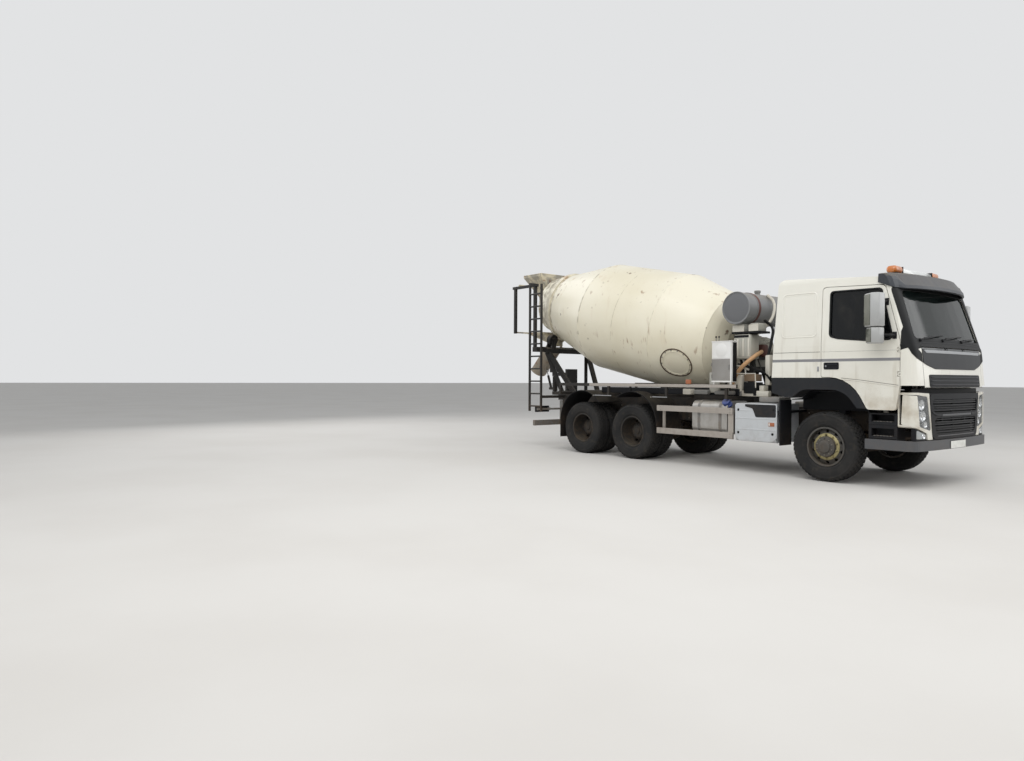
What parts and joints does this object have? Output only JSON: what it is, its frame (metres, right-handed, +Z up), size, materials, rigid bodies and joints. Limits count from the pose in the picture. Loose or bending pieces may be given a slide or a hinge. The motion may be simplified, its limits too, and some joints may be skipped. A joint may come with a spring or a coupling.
{
  "type": "concrete mixer truck",
  "caption": "Forward-control truck with a tilting cab, twin-tyred rear bogie, inclined mixing drum, feed hopper and a swinging discharge chute.",
  "frame": {"origin": "middle of the object's box, on the ground", "axes": "+X forwards, +Y to the left, +Z up"},
  "size_m": [9.524, 3.1742, 4.02],
  "materials": {
    "chassis_black": "satin, dusty",
    "steel_grey": "satin",
    "cast": "rough",
    "cab_white": "gloss, slightly dirty",
    "trim_black": "satin",
    "trim_grey": "matte",
    "bumper_grey": "matte",
    "lamp": "clear lamp glass",
    "glass": "tinted",
    "beacon": "clear amber",
    "aluminium": "dull",
    "tank_grey": "satin",
    "box_white": "satin",
    "drum_cream": "gloss, rust spots",
    "gear_green": "satin",
    "seat_dark": "woven",
    "rubber": "matte",
    "tyre": "dusty",
    "rim_gold": "dirty",
    "rim_dark": "dirty",
    "rod": "polished"
  },
  "bodies": {
    "chassis": {"frame": "chassis_black", "leaf_springs": "cast", "front_axle": "cast", "rear_axles": "cast", "engine": "cast", "bumper": "bumper_grey", "lower_grille": "trim_black", "lamp_surrounds": "cab_white", "lamps": "lamp", "cab_steps": "trim_black", "tanks": "steel_grey", "battery_box": "steel_grey", "side_guards": "aluminium", "rear_mudguards": "rubber", "exhaust": "steel_grey", "subframe": "chassis_black", "front_pedestal": "chassis_black", "drum_gearbox": "gear_green", "water_tank": "tank_grey", "control_box": "box_white", "rear_pedestal": "chassis_black", "hopper": "drum_cream", "rear_bumper": "steel_grey"},
    "cab": {"cab_tub": "cab_white", "cab_sides": "cab_white", "cab_roof": "cab_white", "cab_front": "cab_white", "windscreen": "glass", "sun_visor": "trim_grey", "beacon_bar": "beacon", "wheel_arches": "trim_grey", "cab_interior": "seat_dark"},
    "hatch": {"front_hatch": "trim_black"},
    "left_door": {"door_l": "cab_white", "door_glass_l": "glass", "mirror_l": "box_white"},
    "right_door": {"door_r": "cab_white", "door_glass_r": "glass", "mirror_r": "box_white"},
    "left_knuckle": {"knuckle_l": "cast"},
    "right_knuckle": {"knuckle_r": "cast"},
    "track_rod": {"tie_rod": "cast"},
    "wheel_fl": {"tyre_front_l": "tyre", "rim_front_l": "rim_gold"},
    "wheel_fr": {"tyre_front_r": "tyre", "rim_front_r": "rim_gold"},
    "wheels_r1l": {"tyres_rear1_l": "tyre", "rims_rear1_l": "rim_dark"},
    "wheels_r1r": {"tyres_rear1_r": "tyre", "rims_rear1_r": "rim_dark"},
    "wheels_r2l": {"tyres_rear2_l": "tyre", "rims_rear2_l": "rim_dark"},
    "wheels_r2r": {"tyres_rear2_r": "tyre", "rims_rear2_r": "rim_dark"},
    "mixing_drum": {"drum": "drum_cream"},
    "swing_post": {"chute_arm": "chassis_black"},
    "trough": {"chute": "drum_cream"},
    "barrel": {"ram_barrel": "chassis_black"},
    "rod": {"ram_rod": "rod"}
  },
  "joints": [
    {"name": "cab_tilt", "type": "hinge", "parent": "chassis", "child": "cab", "pos_m": [4.43199, 0, 0.85], "axis": [0, 1, 0], "range_deg": [0, 65]},
    {"name": "hatch_lift", "type": "hinge", "parent": "cab", "child": "hatch", "pos_m": [4.70399, 0, 1.978], "axis": [0, -1, 0], "range_deg": [0, 80]},
    {"name": "door_open_l", "type": "hinge", "parent": "cab", "child": "left_door", "pos_m": [4.47199, 1.235, 1.6], "axis": [0, 0, -1], "range_deg": [0, 75]},
    {"name": "door_open_r", "type": "hinge", "parent": "cab", "child": "right_door", "pos_m": [4.47199, -1.235, 1.6], "axis": [0, 0, 1], "range_deg": [0, 75]},
    {"name": "steer_l", "type": "hinge", "parent": "chassis", "child": "left_knuckle", "pos_m": [3.38198, 0.88, 0.5275], "axis": [0, 0, 1], "range_deg": [-38, 38]},
    {"name": "steer_r", "type": "hinge", "parent": "chassis", "child": "right_knuckle", "pos_m": [3.38198, -0.88, 0.5275], "axis": [0, 0, 1], "range_deg": [-38, 38]},
    {"name": "track_rod_turn", "type": "hinge", "parent": "left_knuckle", "child": "track_rod", "pos_m": [3.16199, 0.88, 0.37], "axis": [0, 0, 1], "range_deg": [-38, 38]},
    {"name": "spin_fl", "type": "hinge", "parent": "left_knuckle", "child": "wheel_fl", "pos_m": [3.38198, 1.0625, 0.5275], "axis": [0, 1, 0], "continuous": true},
    {"name": "spin_fr", "type": "hinge", "parent": "right_knuckle", "child": "wheel_fr", "pos_m": [3.38198, -1.0625, 0.5275], "axis": [0, 1, 0], "continuous": true},
    {"name": "spin_r1l", "type": "hinge", "parent": "chassis", "child": "wheels_r1l", "pos_m": [-0.52802, 0.89, 0.5275], "axis": [0, 1, 0], "continuous": true},
    {"name": "spin_r1r", "type": "hinge", "parent": "chassis", "child": "wheels_r1r", "pos_m": [-0.52802, -0.89, 0.5275], "axis": [0, 1, 0], "continuous": true},
    {"name": "spin_r2l", "type": "hinge", "parent": "chassis", "child": "wheels_r2l", "pos_m": [-1.89802, 0.89, 0.5275], "axis": [0, 1, 0], "continuous": true},
    {"name": "spin_r2r", "type": "hinge", "parent": "chassis", "child": "wheels_r2r", "pos_m": [-1.89802, -0.89, 0.5275], "axis": [0, 1, 0], "continuous": true},
    {"name": "drum_spin", "type": "hinge", "parent": "chassis", "child": "mixing_drum", "pos_m": [0.86699, 0, 2.24], "axis": [-0.977, 0, 0.213], "continuous": true},
    {"name": "chute_swing", "type": "hinge", "parent": "chassis", "child": "swing_post", "pos_m": [-4.11801, 0, 1.4], "axis": [0, 0, 1], "range_deg": [-90, 90]},
    {"name": "chute_lift", "type": "hinge", "parent": "swing_post", "child": "trough", "pos_m": [-4.16801, 0, 1.95], "axis": [0, 1, 0], "range_deg": [0, 35]},
    {"name": "ram_lean", "type": "hinge", "parent": "swing_post", "child": "barrel", "pos_m": [-4.25802, 0, 1.3], "axis": [0, 1, 0], "range_deg": [-2.5, 0.5]},
    {"name": "ram_slide", "type": "slide", "parent": "barrel", "child": "rod", "axis": [-0.3433, 0, 0.9392], "range_m": [0, 0.21]}
  ],
  "couplings": [
    {"joint": "steer_r", "follows": "steer_l", "ratio": 1},
    {"joint": "track_rod_turn", "follows": "steer_l", "ratio": -1},
    {"joint": "ram_lean", "follows": "chute_lift", "ratio": -0.054},
    {"joint": "ram_slide", "follows": "chute_lift", "m_per_rad": 0.3247}
  ]
}
